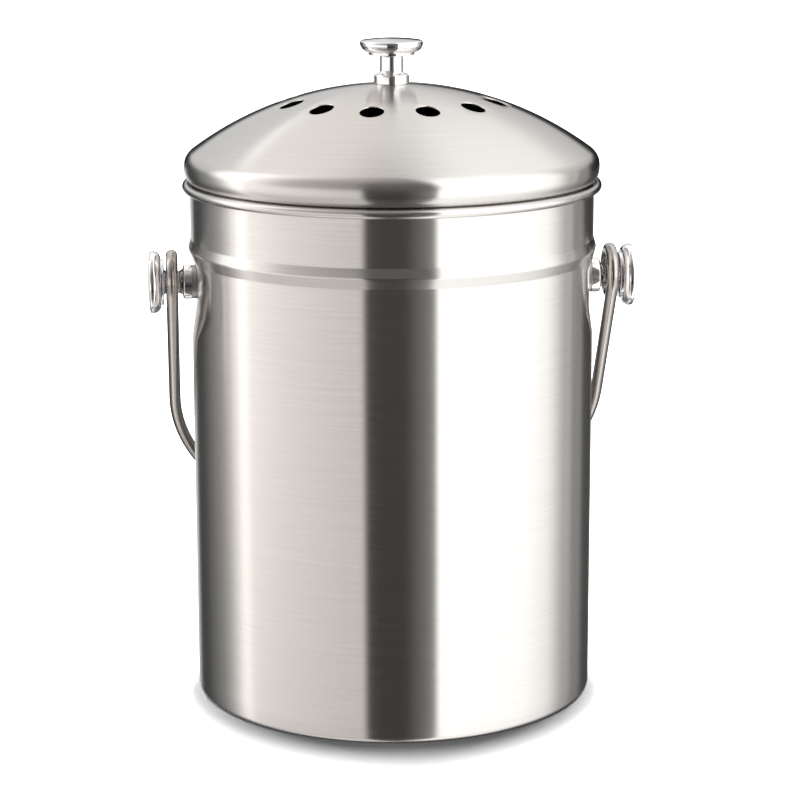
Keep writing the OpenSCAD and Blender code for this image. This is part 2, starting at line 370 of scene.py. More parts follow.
shoulder_x = lid_r - shoulder_r
dome_z = shoulder_z - sqrt((dome_r - shoulder_r) ** 2 - shoulder_x ** 2)
dome_turn = degrees(atan2(shoulder_z - dome_z, shoulder_x))
under_turn = degrees(asin((side_z - ledge_z - lip_r) / (under_r - lip_r)))
lip_reach = under_r - lip_r
lip_x = lid_r - under_r + lip_reach * cos(radians(under_turn))
lip_z = side_z - lip_reach * sin(radians(under_turn))
print("the dome ends", round(dome_turn, 1), "degrees above the level of its centre")

# %% [markdown]
# ### Vent holes
#
# Twelve round holes are punched in a ring round the knob. A grid of faces has no round holes in it,
# so a band of the dome is made apart. One sector of the band, a twelfth of the turn, starts as a
# flat grid. A block of its faces is deleted, a circle is drawn above the gap, and the two loops are
# bridged. The circle has to be well above, or the bridge can't tell which way round both loops run.
# Then the sector is laid on the dome and spun into twelve copies.
#
# A punch drags the sheet's edge down with it, so each hole has a small rounded lip. The circle is
# extruded inward a few times for it, and the nearer a vertex is to the hole, the lower it goes.

# %% Sizes of the vents
vent_count = 12
vent_r = 4.8
vent_ring = 42.5
vent_lip = 0.35
lip_steps = 4
lift = 40
band_low = 34.0
band_high = 51.0
sector_columns = 20
band_rows = 10
gap_columns = 14
gap_rows = 8
open_share = vent_count * 2 * vent_r / (tau * vent_ring)
print("the vents take up", round(100 * open_share), "percent of their ring")


# %% One sector of the vent band
def vent_sector():
    """A flat sector about the X axis, in millimetres, with one round hole at the vent ring."""
    bm = bmesh.new()
    half = pi / vent_count
    bmesh.ops.create_grid(bm, x_segments=band_rows, y_segments=sector_columns, size=1)
    middle = (vent_ring - band_low) / (band_high - band_low) * 2 - 1
    near = [
        f for f in bm.faces
        if abs(f.calc_center_median().y) < gap_columns / sector_columns
        and abs(f.calc_center_median().x - middle) < gap_rows / band_rows
    ]
    bmesh.ops.delete(bm, geom=near, context="FACES")
    gap = [
        e for e in bm.edges
        if e.is_boundary and max(abs(c) for v in e.verts for c in v.co.xy) < 0.999
    ]
    for v in bm.verts:
        r = band_low + (v.co.x + 1) / 2 * (band_high - band_low)
        turn = v.co.y * half
        v.co = (r * cos(turn), r * sin(turn), 0)
    radius = vent_r + vent_lip
    ring = bmesh.ops.create_circle(
        bm, segments=len(gap), radius=radius,
        matrix=Matrix.Translation((vent_ring, 0, lift)),
    )
    hole = list({e for v in ring["verts"] for e in v.link_edges})
    bmesh.ops.bridge_loops(bm, edges=gap + hole)
    for i in range(1, lip_steps + 1):
        inner = bmesh.ops.extrude_edge_only(bm, edges=hole)["geom"]
        hole = [e for e in edges_in(inner) if e.is_boundary]
        nearer = vent_r + vent_lip * (1 - sin(i / lip_steps * pi / 2))
        bmesh.ops.scale(
            bm, verts=verts_in(inner), vec=(nearer / radius,) * 3,
            space=Matrix.Translation((-vent_ring, 0, -lift)),
        )
        radius = nearer
    return bm


bm = vent_sector()
print("faces in a sector:", len(bm.faces))
print("boundary edges:", sum(e.is_boundary for e in bm.edges))
bm.free()

# %% The punched band of the dome
def dome_height(x, y):
    """The height of the dome's outer face at a point, in millimetres."""
    return dome_z + sqrt(dome_r ** 2 - x * x - y * y)


def lip_drop(x, y):
    """How far the punch drags the sheet down at a point of the sector."""
    near = max(0, vent_r + vent_lip - hypot(x - vent_ring, y))
    return vent_lip - sqrt(max(0, vent_lip ** 2 - near ** 2))


def punched_band():
    """The ring of sectors, laid on the dome, in metres."""
    bm = vent_sector()
    for v in bm.verts:
        x, y = v.co.xy
        v.co = Vector((x, y, dome_height(x, y) - lip_drop(x, y))) * MM
    half = Matrix.Rotation(pi / vent_count, 3, "Z")
    bmesh.ops.rotate(bm, verts=bm.verts[:], cent=(0, 0, 0), matrix=half)
    bmesh.ops.spin(
        bm, geom=bm.verts[:] + bm.edges[:] + bm.faces[:], cent=(0, 0, 0), axis=(0, 0, 1),
        angle=tau * (vent_count - 1) / vent_count, steps=vent_count - 1, use_duplicate=True,
    )
    bmesh.ops.remove_doubles(bm, verts=bm.verts[:], dist=0.01 * MM)
    mesh = bpy.data.meshes.new("punched_band")
    bm.to_mesh(mesh)
    bm.free()
    return mesh


band = punched_band()
print("faces in the band:", len(band.polygons))

# %% [markdown]
# ### The whole lid
#
# The rest of the lid is spun from two outlines, one inside the band and one outside it. Both are
# spun in as many steps as the band has, so that the three parts meet vertex to vertex and merge.
# The knob stands on a small flat in the middle.

# %% Build the lid
flat_r = 6.0
flat_end_r = 8.6


def dome_points(start_r, end_r, steps):
    """Points along the dome between two radii, evenly spaced by angle."""
    first, last = degrees(acos(start_r / dome_r)), degrees(acos(end_r / dome_r))
    return arc(0, dome_z, dome_r, first, last, steps)


dome_end_r = shoulder_x + shoulder_r * cos(radians(dome_turn))
bm = bmesh.new()
draw_outline(bm, [(0, lid_top), (flat_r, lid_top)] + dome_points(flat_end_r, band_low, 12))
draw_outline(
    bm,
    dome_points(band_high, dome_end_r, 16)[:-1]
    + arc(shoulder_x, shoulder_z, shoulder_r, dome_turn, 0, 14)
    + arc(lid_r - under_r, side_z, under_r, 0, -under_turn, 10)
    + arc(lip_x, lip_z, lip_r, -under_turn, -90, 6)[1:]
    + arc(skirt_r + bend_r, ledge_z - bend_r, bend_r, 90, 180, 5)
    + stretch(skirt_r, ledge_z - bend_r - 1, skirt_foot, 5)
    + [(skirt_r, skirt_foot)]
)
spin_round(bm, vent_count * sector_columns)
bm.from_mesh(band)
bpy.data.meshes.remove(band)
bmesh.ops.remove_doubles(bm, verts=bm.verts[:], dist=0.02 * MM)
bmesh.ops.recalc_face_normals(bm, faces=bm.faces[:])
if sum(f.normal.z for f in bm.faces) < 0:
    bmesh.ops.reverse_faces(bm, faces=bm.faces[:])
bm.normal_update()
bmesh.ops.solidify(bm, geom=bm.faces[:], thickness=sheet * MM)
bmesh.ops.recalc_face_normals(bm, faces=bm.faces[:])
lid_sheet = make_piece(bm, "lid_sheet", "lid", "brushed_steel", "lid_shell")

# %% [markdown]
# ## The knobs
#
# The three knobs are one part used three times. It is a turned and chromed mushroom with a wide
# barrel-sided head, a step under it and a slim neck that flares into a collar. The lid's knob
# stands up, and the side knobs lie on their axis. One function spins the outline and lays it where
# the CAD node is. The first lines work out where the head's round side meets its rounded edge.

# %% Sizes of the knobs
head_r, head_h, head_edge, head_crown = 12.8, 5.4, 0.7, 0.85
step_r, step_h = 9.4, 1.3
neck_r, neck_h, neck_fillet = 4.7, 7.7, 0.8
collar_r, collar_h, collar_edge = 7.1, 4.0, 0.8
bore_r, bore_h = 2.55, 10.0
side_low, side_high = 75, 12
knob_steps = 96
foot_fillet = collar_r - collar_edge - neck_r
neck_top = collar_h + neck_h
step_top = neck_top + step_h
knob_top = step_top + head_h
lean = sin(radians(side_high))
side_sine = sin(radians(side_low))
side_r = (head_h - head_crown - head_edge * (1 - lean)) / (side_sine + lean)
side_x, side_height = head_r - side_r, step_top + side_r * side_sine
edge_x = side_x + (side_r - head_edge) * cos(radians(side_high))
edge_height = side_height + (side_r - head_edge) * lean
drop = knob_top - edge_height
crown_r = (edge_x ** 2 + drop ** 2 - head_edge ** 2) / (2 * head_crown)
crown_turn = degrees(atan2(crown_r - drop, edge_x))
print("the head's side has a radius of", round(side_r, 2), "and its crown", round(crown_r, 1))

# %% Turn the knobs
knob_outline = (
    [(0, bore_h), (bore_r, bore_h), (bore_r, 0)]
    + [(collar_r - 0.4, 0), (collar_r, 0.4)]
    + arc(collar_r - collar_edge, collar_h - collar_edge, collar_edge, 0, 90, 6)
    + arc(neck_r + foot_fillet, collar_h + foot_fillet, foot_fillet, 270, 180, 8)[1:]
    + arc(neck_r + neck_fillet, neck_top - neck_fillet, neck_fillet, 180, 90, 6)
    + arc(step_r - 0.4, neck_top + 0.4, 0.4, -90, 0, 3)
    + [(step_r, step_top)]
    + arc(side_x, side_height, side_r, -side_low, side_high, 14)
    + arc(edge_x, edge_height, head_edge, side_high, crown_turn, 8)[1:]
    + arc(0, knob_top - crown_r, crown_r, crown_turn, 90, 8)[1:]
)


def knob(name, body, node, foot, turn):
    """A knob whose collar stands on foot, with its axis turned from +Z by the matrix."""
    bm = bmesh.new()
    draw_outline(bm, knob_outline)
    spin_round(bm, knob_steps)
    bmesh.ops.transform(bm, matrix=Matrix.Translation(foot) @ turn, verts=bm.verts[:])
    return make_piece(bm, name, body, "chrome", node)


def middle(node):
    """The middle of a CAD node's box."""
    low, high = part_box(node)
    return (low + high) / 2


side_axis = middle("right_knob")
side_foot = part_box("right_knob")[0].x
lid_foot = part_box("lid_knob")[0].z
to_right = Matrix.Rotation(pi / 2, 4, "Y")
to_left = Matrix.Rotation(-pi / 2, 4, "Y")
knobs = [
    knob("lid_knob_turned", "lid", "lid_knob", (0, 0, lid_foot), Matrix.Identity(4)),
    knob("right_knob_turned", "pail", "right_knob", (side_foot, 0, side_axis.z), to_right),
    knob("left_knob_turned", "pail", "left_knob", (-side_foot, 0, side_axis.z), to_left),
]

# %% [markdown]
# ## The bail
#
# The handle is one length of round wire. A bow runs round the back of the pail, two straight legs
# run up to the knobs, and each leg ends in an open eye that hangs on a knob's neck. Half of the
# wire is swept by spinning and extruding one circle, and the other half is its mirror image.

# %% Bend the bail
wire_r = 2.45
eye_x = 90.45
eye_r = 9.15
eye_z = 174.0
bail_leg = 64.0
eye_gap = 0.3
eye_turn = 360 - degrees(acos(1 - (2 * wire_r + eye_gap) / eye_r))
bail_hang = 36.83
wire_sides = 28
bow_steps = 48
eye_steps = 90
end_edge = 0.4
end_crown = 0.25


def bend_half_bail():
    """One half of the wire: a quarter of the bow, a leg and an eye, with its end closed."""
    bm = bmesh.new()
    low_point = Vector((0, -eye_r, -bail_leg - eye_x)) * MM
    ring = bmesh.ops.create_circle(
        bm, segments=wire_sides, radius=wire_r * MM,
        matrix=Matrix.Translation(low_point) @ Matrix.Rotation(pi / 2, 4, "Y"),
    )
    loop = ring["verts"] + list({e for v in ring["verts"] for e in v.link_edges})
    bow = bmesh.ops.spin(
        bm, geom=loop, cent=Vector((0, -eye_r, -bail_leg)) * MM, axis=(0, -1, 0),
        angle=pi / 2, steps=bow_steps,
    )
    leg = bmesh.ops.extrude_edge_only(bm, edges=edges_in(bow["geom_last"]))["geom"]
    moved = verts_in(leg)
    bmesh.ops.translate(bm, verts=moved, vec=(0, 0, bail_leg * MM))
    moved_edges = [e for e in edges_in(leg) if all(v in moved for v in e.verts)]
    eye = bmesh.ops.spin(
        bm, geom=moved + moved_edges, cent=Vector((eye_x, 0, 0)) * MM, axis=(-1, 0, 0),
        angle=radians(eye_turn), steps=eye_steps,
    )
    end_edges = edges_in(eye["geom_last"])
    cap = bmesh.ops.edgeloop_fill(bm, edges=end_edges)
    bmesh.ops.inset_region(
        bm, faces=cap["faces"], thickness=end_edge * MM, depth=end_crown * MM,
    )
    return bm


bm = bend_half_bail()
half_bail = bm.verts[:] + bm.edges[:] + bm.faces[:]
bmesh.ops.mirror(bm, geom=half_bail, axis="X", merge_dist=0.01 * MM)
bmesh.ops.recalc_face_normals(bm, faces=bm.faces[:])
hang = Matrix.Translation((0, 0, eye_z * MM)) @ Matrix.Rotation(radians(bail_hang), 4, "X")
bmesh.ops.transform(bm, matrix=hang, verts=bm.verts[:])
bail_wire = make_piece(bm, "bail_wire", "bail", "wire", "bail")

# %% [markdown]
# ## Washers
#
# A washer stands between each side knob and the wall, and smaller ones lie under the screw heads
# inside. They are flat rings with their edges broken a little.

# %% Turn the washers
washer_steps = 72


def washer(name, body, node, axis):
    """A flat ring in the box of its CAD node, with its axis along X or Z."""
    low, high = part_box(node)
    size = (high - low) / MM
    thick = size.x if axis == "X" else size.z
    outer, inner, edge = size.y / 2, 2.7, 0.2
    bm = bmesh.new()
    chain = draw_outline(bm, [
        (inner, thick / 2), (outer - edge, thick / 2), (outer, thick / 2 - edge),
        (outer, edge - thick / 2), (outer - edge, -thick / 2), (inner, -thick / 2),
    ])
    bm.edges.new((chain[-1], chain[0]))
    spin_round(bm, washer_steps)
    turn = to_right if axis == "X" else Matrix.Identity(4)
    bmesh.ops.transform(bm, matrix=Matrix.Translation((low + high) / 2) @ turn, verts=bm.verts[:])
    return make_piece(bm, name, body, "inner_steel", node)


side_washers = ("left_washer", "right_washer", "left_inner_washer", "right_inner_washer")
washers = [washer(f"{node}_ring", "pail", node, "X") for node in side_washers]
washers.append(washer("lid_washer_ring", "lid", "lid_washer", "Z"))

# %% [markdown]
# ## The charcoal filter
#
# A disc of felt filled with carbon lies above the clips, and it is what makes the vent holes look
# black. Its edge is rounded. Its rough face comes from the bump in its material.

# %% Press the filter
filter_low, filter_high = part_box("charcoal_filter")
filter_r = filter_high.x / MM
filter_floor = filter_low.z / MM
filter_top = filter_high.z / MM
felt_soft = 1.5
filter_steps = 144
filter_outline = (
    [(0, filter_floor)]
    + [(r, filter_floor) for r in range(4, 72, 4)]
    + arc(filter_r - felt_soft, filter_floor + felt_soft, felt_soft, -90, 0, 5)
    + arc(filter_r - felt_soft, filter_top - felt_soft, felt_soft, 0, 90, 5)
    + [(r, filter_top) for r in range(68, 3, -4)]
    + [(0, filter_top)]
)
bm = bmesh.new()
draw_outline(bm, filter_outline)
spin_round(bm, filter_steps)
filter_felt = make_piece(bm, "filter_felt", "lid", "charcoal", "charcoal_filter")

# %% [markdown]
# ## Node helpers
#
# A material is a small tree of nodes. This helper adds a node, sets its values and wires its
# inputs in one call, so that each finish reads from top to bottom.

# %% Node helper
def add(tree, kind, inputs=None, **settings):
    """A new node with its settings and inputs. An input is a number, a colour or another socket."""
    node = tree.nodes.new(kind)
    for key, value in settings.items():
        setattr(node, key, value)
    for key, value in (inputs or {}).items():
        if isinstance(value, bpy.types.NodeSocket):
            tree.links.new(value, node.inputs[key])
        else:
            node.inputs[key].default_value = value
    return node


def new_material(name):
    """An empty material and its node tree."""
    material = bpy.data.materials.new(name)
    material.use_nodes = True
    material.node_tree.nodes.clear()
    return material, material.node_tree


trial, tree = new_material("trial")
noise = add(tree, "ShaderNodeTexNoise", {"Scale": 5.0})
print("a noise node has the inputs", [socket.name for socket in noise.inputs])
bpy.data.materials.remove(trial)

# %% [markdown]
# ## Brushed stainless steel
#
# Brushing leaves thousands of fine lines round the pail. Along a line the steel is smooth, and across
# the lines it is rough. So a reflection stays sharp from left to right and is blurred up and down,
# which draws a lamp out into an upright band. That is what the shader's anisotropy does, with a
# tangent that runs round the axis.
#
# The lines themselves come from noise that is stretched round the axis. Its coordinate is the
# direction from the axis, which changes slowly, and the height less the radius, which changes
# quickly across the lines, both on the wall and on the dome. A fine noise sets the roughness and the
# bump, and a broader one sets the colour. The washers, the base and the inner fittings have a duller
# satin finish from the same nodes.

# %% Brushed and satin steel
def brush_coordinate(tree, along, across):
    """A coordinate that is drawn out round the Z axis."""
    place = add(tree, "ShaderNodeTexCoord").outputs["Object"]
    axes = add(tree, "ShaderNodeSeparateXYZ", {0: place})
    flat = add(tree, "ShaderNodeCombineXYZ", {0: axes.outputs[0], 1: axes.outputs[1]})
    radius = add(tree, "ShaderNodeVectorMath", {0: flat.outputs[0]}, operation="LENGTH")
    radius = radius.outputs["Value"]
    direction = add(tree, "ShaderNodeVectorMath", {0: flat.outputs[0]}, operation="NORMALIZE")
    lines = add(tree, "ShaderNodeMath", {0: axes.outputs[2], 1: radius}, operation="SUBTRACT")
    lines = add(tree, "ShaderNodeMath", {0: lines.outputs[0], 1: across}, operation="MULTIPLY")
    turned = add(
        tree, "ShaderNodeVectorMath", {0: direction.outputs[0], 3: along}, operation="SCALE",
    )
    parts = add(tree, "ShaderNodeSeparateXYZ", {0: turned.outputs[0]})
    return add(tree, "ShaderNodeCombineXYZ", {
        0: parts.outputs[0], 1: parts.outputs[1], 2: lines.outputs[0],
    }).outputs[0]


def brushed_steel(name, dark, light, rough_low, rough_high, anisotropy):
    """Steel with brush lines round the Z axis, between two colours and two roughnesses."""
    material, tree = new_material(name)
    fine = add(tree, "ShaderNodeTexNoise", {
        "Vector": brush_coordinate(tree, 2.4, 2900), "Scale": 1.0, "Detail": 3.0, "Roughness": 0.65,
    }).outputs["Fac"]
    broad = add(tree, "ShaderNodeTexNoise", {
        "Vector": brush_coordinate(tree, 1.2, 900), "Scale": 1.0, "Detail": 4.0, "Roughness": 0.6,
    }).outputs["Fac"]
    tint = add(tree, "ShaderNodeMix", {"Factor": broad, "A": dark, "B": light}, data_type="RGBA")
    rough = add(tree, "ShaderNodeMapRange", {
        "Value": fine, "From Min": 0.3, "From Max": 0.7, "To Min": rough_low, "To Max": rough_high,
    })
    bump = add(tree, "ShaderNodeBump", {"Height": fine, "Strength": 0.1, "Distance": 0.02 * MM})
    tangent = add(tree, "ShaderNodeTangent", direction_type="RADIAL", axis="Z")
    shader = add(tree, "ShaderNodeBsdfPrincipled", {
        "Base Color": tint.outputs[2], "Metallic": 1.0, "Roughness": rough.outputs[0],
        "Anisotropic": anisotropy, "Anisotropic Rotation": 0.25,
        "Tangent": tangent.outputs[0], "Normal": bump.outputs[0],
    })
    add(tree, "ShaderNodeOutputMaterial", {"Surface": shader.outputs[0]})
    return material


steel = brushed_steel(
    "brushed stainless", (0.615, 0.601, 0.583, 1), (0.685, 0.67, 0.65, 1), 0.18, 0.23, 1.0,
)
satin = brushed_steel(
    "satin stainless", (0.5, 0.49, 0.48, 1), (0.6, 0.59, 0.58, 1), 0.3, 0.4, 0.5,
)
print("finishes:", steel.name, "and", satin.name)

# %% [markdown]
# ## Chrome, wire and felt
#
# The knobs are mirror chrome with a faint haze. The bail is drawn wire, which is a little duller and
# warmer, with a fine grain. The filter is black felt, nearly without gloss, with a fibre bump.

# %% Polished chrome
def polished_chrome():
    """Mirror chrome with a faint uneven haze."""
    material, tree = new_material("polished chrome")
    place = add(tree, "ShaderNodeTexCoord").outputs["Object"]
    haze = add(tree, "ShaderNodeTexNoise", {"Vector": place, "Scale": 180.0, "Detail": 3.0})
    rough = add(tree, "ShaderNodeMapRange", {
        "Value": haze.outputs["Fac"], "To Min": 0.015, "To Max": 0.045,
    })
    shader = add(tree, "ShaderNodeBsdfPrincipled", {
        "Base Color": (0.9, 0.9, 0.91, 1), "Metallic": 1.0, "Roughness": rough.outputs[0],
    })
    add(tree, "ShaderNodeOutputMaterial", {"Surface": shader.outputs[0]})
    return material


chrome = polished_chrome()
print("chrome nodes:", len(chrome.node_tree.nodes))


# %% Drawn wire
def drawn_wire():
    """Dull warm steel with a fine grain."""
    material, tree = new_material("drawn wire")
    place = add(tree, "ShaderNodeTexCoord").outputs["Object"]
    grain = add(tree, "ShaderNodeTexNoise", {
        "Vector": place, "Scale": 900.0, "Detail": 4.0,
    }).outputs["Fac"]
    tint = add(tree, "ShaderNodeMix", {
        "Factor": grain, "A": (0.43, 0.405, 0.385, 1), "B": (0.53, 0.503, 0.48, 1),
    }, data_type="RGBA")
    rough = add(tree, "ShaderNodeMapRange", {"Value": grain, "To Min": 0.1, "To Max": 0.18})
    shader = add(tree, "ShaderNodeBsdfPrincipled", {
        "Base Color": tint.outputs[2], "Metallic": 1.0, "Roughness": rough.outputs[0],
    })
    add(tree, "ShaderNodeOutputMaterial", {"Surface": shader.outputs[0]})
    return material


wire = drawn_wire()
print("wire nodes:", len(wire.node_tree.nodes))


# %% Carbon felt
def carbon_felt():
    """Black felt with a bump of fibres."""
    material, tree = new_material("carbon felt")
    place = add(tree, "ShaderNodeTexCoord").outputs["Object"]
    fibre = add(tree, "ShaderNodeTexNoise", {
        "Vector": place, "Scale": 1500.0, "Detail": 6.0, "Roughness": 0.7,
    }).outputs["Fac"]
    tint = add(tree, "ShaderNodeMix", {
        "Factor": fibre, "A": (0.006, 0.006, 0.0065, 1), "B": (0.034, 0.033, 0.033, 1),
    }, data_type="RGBA")
    bump = add(tree, "ShaderNodeBump", {"Height": fibre, "Strength": 0.8, "Distance": 0.3 * MM})
    shader = add(tree, "ShaderNodeBsdfPrincipled", {
        "Base Color": tint.outputs[2], "Roughness": 0.95, "Sheen Weight": 0.2,
        "Normal": bump.outputs[0],
    })
    add(tree, "ShaderNodeOutputMaterial", {"Surface": shader.outputs[0]})
    return material


felt = carbon_felt()
print("felt nodes:", len(felt.node_tree.nodes))

# %% [markdown]
# ## Putting the finishes on
#
# The CAD nodes that no new piece replaces are the screws and the filter clips. They keep their
# shapes and get the satin finish.

# %% Give each piece its finish
def finish_with(material, *objects):
    """Gives the objects one material in place of what they had."""
    for piece in objects:
        piece.data.materials.clear()
        piece.data.materials.append(material)


finish_with(steel, pail_sheet, lid_sheet)
finish_with(satin, base_panel, *washers)
finish_with(chrome, *knobs)
finish_with(wire, bail_wire)
finish_with(felt, filter_felt)
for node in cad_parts.values():
    finish_with(satin, node)
print("materials:", len(bpy.data.materials))

# %% [markdown]
# ## The floor
#
# The caddy stands on a plain white sweep. The world is white too, so that the horizon doesn't show
# from any side, and steel and chrome mirror the same white. The paper is painted a little whiter
# for the camera than for the light that bounces off it. So the ground comes out white without
# more light on the caddy, and the shadow under the foot stays dark.

# %% Floor and world
def add_stage(name, mesh, material):
    """An object that belongs to the studio and not to the caddy."""
    piece = bpy.data.objects.new(name, mesh)
    mesh.materials.append(material)
    scene.collection.objects.link(piece)
    return piece


def seen_directly(tree):
    """1 for rays from the camera, from a mirror or through glass, and 0 for the rest."""
    path = add(tree, "ShaderNodeLightPath")
    seen = path.outputs["Is Camera Ray"]
    for kind in ("Is Glossy Ray", "Is Transmission Ray"):
        both = add(tree, "ShaderNodeMath", {0: seen, 1: path.outputs[kind]}, operation="MAXIMUM")
        seen = both.outputs[0]
    return seen


def floor_paper():
    """White paper that looks whiter than the light that it bounces."""
    material, tree = new_material("white paper")
    tone = add(tree, "ShaderNodeMapRange", {
        "Value": seen_directly(tree), "To Min": 0.8, "To Max": 2.1,
    }).outputs[0]
    shader = add(tree, "ShaderNodeBsdfDiffuse", {"Color": tone})
    add(tree, "ShaderNodeOutputMaterial", {"Surface": shader.outputs[0]})
    return material


floor_reach = 12
bm = bmesh.new()
bmesh.ops.create_grid(bm, x_segments=1, y_segments=1, size=floor_reach)
floor_mesh = bpy.data.meshes.new("floor")
bm.to_mesh(floor_mesh)
bm.free()
floor = add_stage("floor", floor_mesh, floor_paper())
print("the floor reaches", floor_reach, "m from the caddy")

# %% The white world
ambient = 0.1
world = bpy.data.worlds.new("white studio")
world.use_nodes = True
scene.world = world
tree = world.node_tree
tree.nodes.clear()
strength = add(tree, "ShaderNodeMapRange", {
    "Value": seen_directly(tree), "To Min": ambient, "To Max": 1.0,
}).outputs[0]
white = add(tree, "ShaderNodeBackground", {"Color": (1, 1, 1, 1), "Strength": strength})
add(tree, "ShaderNodeOutputWorld", {"Surface": white.outputs[0]})
print("the world lights the floor with", ambient, "and looks white")

# %% [markdown]
# ## Cards for the steel to mirror
#
# Steel has hardly any colour of its own. It shows what stands round it, so a photographer builds
# the picture out of cards: a bright lamp panel on the right, a softer white card on the left, and
# black cards where the steel should go dark. Here the cards are one wide round tent that only
# reflections can see. It is a flat grid that is rolled up into a ball, so that its columns are
# compass directions and its rows are heights, and each of its vertices has its own glow.
#
# An upright strip of the pail's wall mirrors one compass direction, whatever its height. So the
# cards are set out by the angle of the strip that shows them, from the camera's side, and their
# edges come out on the steel as straight upright lines. The low part of the tent shows on the wall,
# the middle part on the lid's shoulder, and the high part on the dome.

# %% Helpers for the cards
wall_m = wall_r * MM


def ease(x, low, high):
    """0 below low, 1 above high, and smooth between."""
    t = min(1, max(0, (x - low) / (high - low)))
    return t * t * (3 - 2 * t)


def blend(a, b, share):
    """The value that lies this share of the way from a to b."""
    return a + (b - a) * share


def card(strip, left, right, at_left, at_right, soft_left, soft_right):
    """The glow of one card, which may shade from one brightness to another."""
    shade = min(1, max(0, (strip - left) / (right - left)))
    left_edge = ease(strip, left - soft_left, left + soft_left)
    right_edge = ease(-strip, -right - soft_right, -right + soft_right)
    return blend(at_left, at_right, shade) * left_edge * right_edge


def strip_that_mirrors(azimuth):
    """The angle on the wall that mirrors a direction, both in degrees from the camera's side."""
    half = radians(azimuth / 2)
    lean = degrees(atan2(wall_m * sin(half), camera_distance - wall_m * cos(half)))
    return (azimuth - lean) / 2


print("a direction at 90 degrees shows on the strip at", round(strip_that_mirrors(90), 1))

# %% The low and middle cards
@cache
def low_glow(strip):
    """The cards that the wall shows, from the left edge of the pail to the right one."""
    return (
        0.018
        + card(strip, -90, -76.2, 1.15, 1.05, 0.3, 2)
        + card(strip, -76, -67, 0.07, 0.07, 1, 2)
        + card(strip, -68, -54.5, 0.04, 0.44, 2, 1)
        + card(strip, -54.5, -48.6, 0.44, 1.0, 1, 1)
        + card(strip, -48.3, -43.4, 2.0, 2.05, 2, 0.3)
        + card(strip, -43.4, -7.6, 1.66, 1.12, 0.3, 1)
        + card(strip, 4, 11.3, 0.03, 0.26, 2, 0.5)
        + card(strip, 11.8, 38, 2.3, 2.1, 0.8, 1)
        + card(strip, 38, 47, 2.1, 1.7, 1, 1)
        + card(strip, 47, 60, 1.75, 0.24, 1, 1)
        + card(strip, 57, 67.5, 0.44, 0.46, 2, 1.5)
        + card(strip, 67.5, 79, 0.14, 0.06, 1.5, 2)
        + card(strip, 79.5, 90, 0.33, 0.33, 1.2, 0.3)
    )


@cache
def middle_glow(strip):
    """The cards that the lid's shoulder shows."""
    return (
        0.15
        + card(strip, -100, -57, 0.75, 0.8, 1, 3)
        + card(strip, -57, -43, 1.8, 2.1, 3, 1.5)
        + card(strip, -43, -33, 1.35, 0.8, 1.5, 5)
        + card(strip, -33, -8, 0.5, 0.16, 5, 3)
        + card(strip, 13, 52, 2.1, 1.4, 2, 4)
        + card(strip, 52, 100, 0.68, 0.6, 4, 1)
    )


@cache
def slot_base(strip):
    """The faint light in the dark slot between the two large cards."""
    return card(strip, -9, 13, 1, 1, 3, 3)


def boom_height(azimuth):
    """The elevation of the long thin lamp over the back, which draws a streak up the dome's left."""
    return 36 + 0.33 * (azimuth + 162.5)


def share_behind(azimuth):
    """0 for directions on the camera's side and 1 for those behind the caddy."""
    return ease(abs(azimuth), 100, 125)


print("the bright panel glows", round(low_glow(20), 2), "and the slot beside it", low_glow(0))

# %% [markdown]
# ### Low, middle and high
#
# The low cards are dimmer near the floor, and the floor close to the caddy glows a little, which
# lights the round of the foot. A dark line along the horizon behind the caddy draws the lid's
# outline against the white. Over the back a long thin lamp draws a streak up the dome's left.

# %% The tent's glow
def low_level(azimuth, strip, elevation):
    """The low part of the tent, which the wall shows."""
    height = 0.6 + 0.36 * ease(elevation, -21.5, -14) - 0.05 * ease(elevation, -14, -8)
    height *= 1 + 0.32 * card(strip, -66, -48, 1, 1, 4, 2) * ease(elevation, -15, -9)
    height -= 0.13 * card(strip, -43, -10, 1, 0.3, 0.6, 4) * ease(-elevation, 13, 18)
    slot = slot_base(strip)
    slot_light = blend(0.018, 0.05, ease(elevation, -18, -8)) + 0.06 * ease(-elevation, 22, 32)
    floor_light = 0.42 * card(elevation, -82, -58, 1, 1, 5, 4) * (1 - 0.8 * slot)
    level = low_glow(strip) * height + slot_light * slot + floor_light
    dark_horizon = ease(-azimuth, 145, 160) + ease(azimuth, 130, 150)
    return blend(level, 0.01, dark_horizon * ease(elevation, -7, -4))


def high_level(azimuth, strip, elevation):
    """The ceiling, which the dome shows."""
    side_light = card(strip, 14, 80, 0.24, 0.2, 6, 10) * (1 - ease(elevation, 60, 78))
    slot = card(strip, -42, 16, 0.3, 0.6, 14, 6) * (1 - ease(elevation, 80, 96))
    slot *= 1 - share_behind(azimuth)
    zenith = 0.3 * ease(elevation, 70, 86)
    return 1.14 + side_light - slot - zenith


def glow(azimuth, elevation):
    """How bright the tent is in one direction, in degrees from the camera's side and upward."""
    strip = strip_that_mirrors(azimuth)
    behind = share_behind(azimuth)
    from_left = azimuth < 0
    start = blend(-4, 6.5 if from_left else 8, behind)
    share = ease(elevation, start, start + blend(18, 5, behind))
    level = blend(low_level(azimuth, strip, elevation), middle_glow(strip), share)
    share = ease(elevation, blend(35, 10, behind), blend(90, 42, behind))
    level = blend(level, high_level(azimuth, strip, elevation), share)
    if from_left:
        boom = boom_height(azimuth)
        level *= 1 - 0.18 * behind * ease(boom - elevation, -1, 2)
        along = card(azimuth, -168, -136, 0.6, 1, 5, 8)
        level += 0.5 * along * ease(-abs(elevation - boom), -4, 0)
    else:
        level *= 1 - 0.18 * behind * ease(40 - elevation, 0, 14)
    return level


